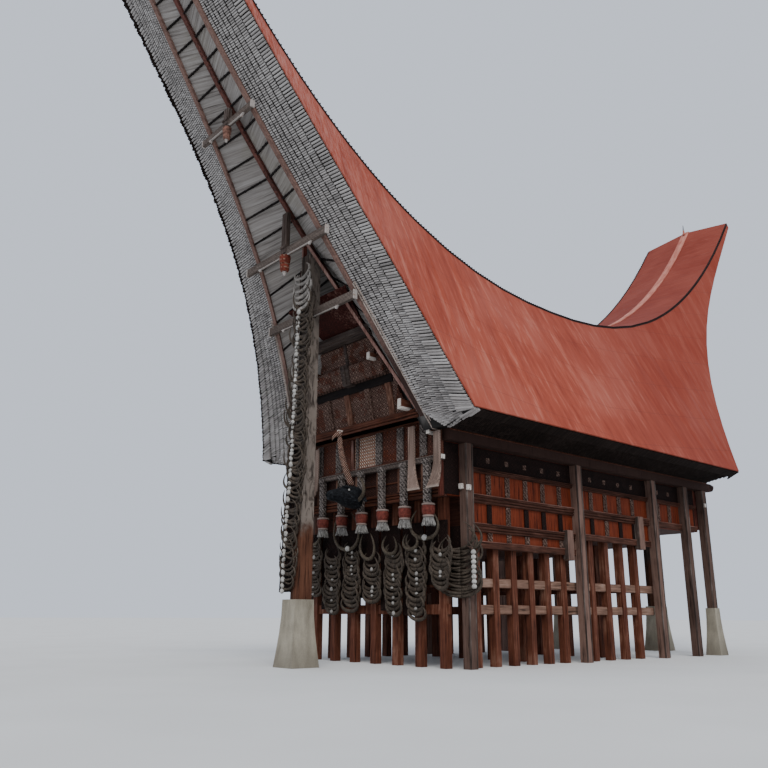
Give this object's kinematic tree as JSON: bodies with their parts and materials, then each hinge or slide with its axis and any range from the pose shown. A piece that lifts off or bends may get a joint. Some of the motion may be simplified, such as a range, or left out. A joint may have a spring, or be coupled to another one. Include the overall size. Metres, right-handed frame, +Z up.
{
  "type": "tongkonan house",
  "caption": "Raised timber house with a boat-shaped saddle roof of layered bamboo under red sheet, carved gables, tall gable posts and horn stacks.",
  "frame": {"origin": "ground level under the middle of the house, at the centre of the roof's outline", "axes": "+X to the house's right side, +Y from the front gable to the rear gable, +Z up"},
  "size_m": [7, 21.4, 14.9354],
  "materials": {
    "carved_grey": "weathered, carved",
    "black_carving": "black paint, worn",
    "concrete": "rough grey concrete",
    "grey_timber": "weathered",
    "red_timber": "red-brown stain, worn",
    "dark_timber": "dark stain, carved",
    "painted_panels": "carved and painted panels",
    "horn": "weathered horn and bone",
    "brown_timber": "brown stain",
    "pale_strip": "weathered pale sheet",
    "bamboo": "grey weathered bamboo",
    "red_sheet": "faded red paint with streaks"
  },
  "bodies": {
    "root": {"bird_neck": "carved_grey", "buffalo_head": "black_carving", "centre_post_foot_front": "concrete", "centre_post_foot_rear": "concrete", "centre_post_front": "grey_timber", "centre_post_rear": "grey_timber", "ear_plank_left_inner": "carved_grey", "ear_plank_left_outer": "carved_grey", "ear_plank_right_inner": "carved_grey", "ear_plank_right_outer": "carved_grey", "facade_hanging_posts": "carved_grey", "floor_front": "red_timber", "floor_front_bay": "red_timber", "floor_middle": "red_timber", "floor_rear": "red_timber", "front_apex_boards": "red_timber", "front_gable": "dark_timber", "front_wall": "painted_panels", "horn_stack_1": "horn", "horn_stack_2": "horn", "horn_stack_3": "horn", "horn_stack_4": "horn", "horn_stack_5": "horn", "horn_stack_6": "horn", "horn_stack_7": "horn", "horn_stack_centre_post": "horn", "left_frame": "dark_timber", "left_wall": "painted_panels", "rear_apex_boards": "red_timber", "rear_gable": "dark_timber", "rear_post_foot_left": "concrete", "rear_post_foot_right": "concrete", "rear_wall": "painted_panels", "ridge_beam": "brown_timber", "ridge_cap": "pale_strip", "right_frame": "dark_timber", "right_wall": "painted_panels", "roof_bamboo_left": "bamboo", "roof_bamboo_right": "bamboo", "roof_sheet_left": "red_sheet", "roof_sheet_right": "red_sheet", "roof_top_sheet": "red_sheet", "tie_beam_front_lower": "carved_grey", "tie_beam_front_middle": "carved_grey", "tie_beam_front_upper": "carved_grey", "tie_beam_rear_lower": "carved_grey", "tie_beam_rear_middle": "carved_grey", "tie_beam_rear_upper": "carved_grey", "underframe_cross_front": "red_timber", "underframe_cross_middle": "red_timber", "underframe_cross_rear": "red_timber", "underframe_left": "red_timber", "underframe_right": "red_timber", "verge_rail_front_left": "brown_timber", "verge_rail_front_right": "brown_timber", "verge_rail_rear_left": "brown_timber", "verge_rail_rear_right": "brown_timber", "window_shutter": "painted_panels"}
  },
  "joints": []
}
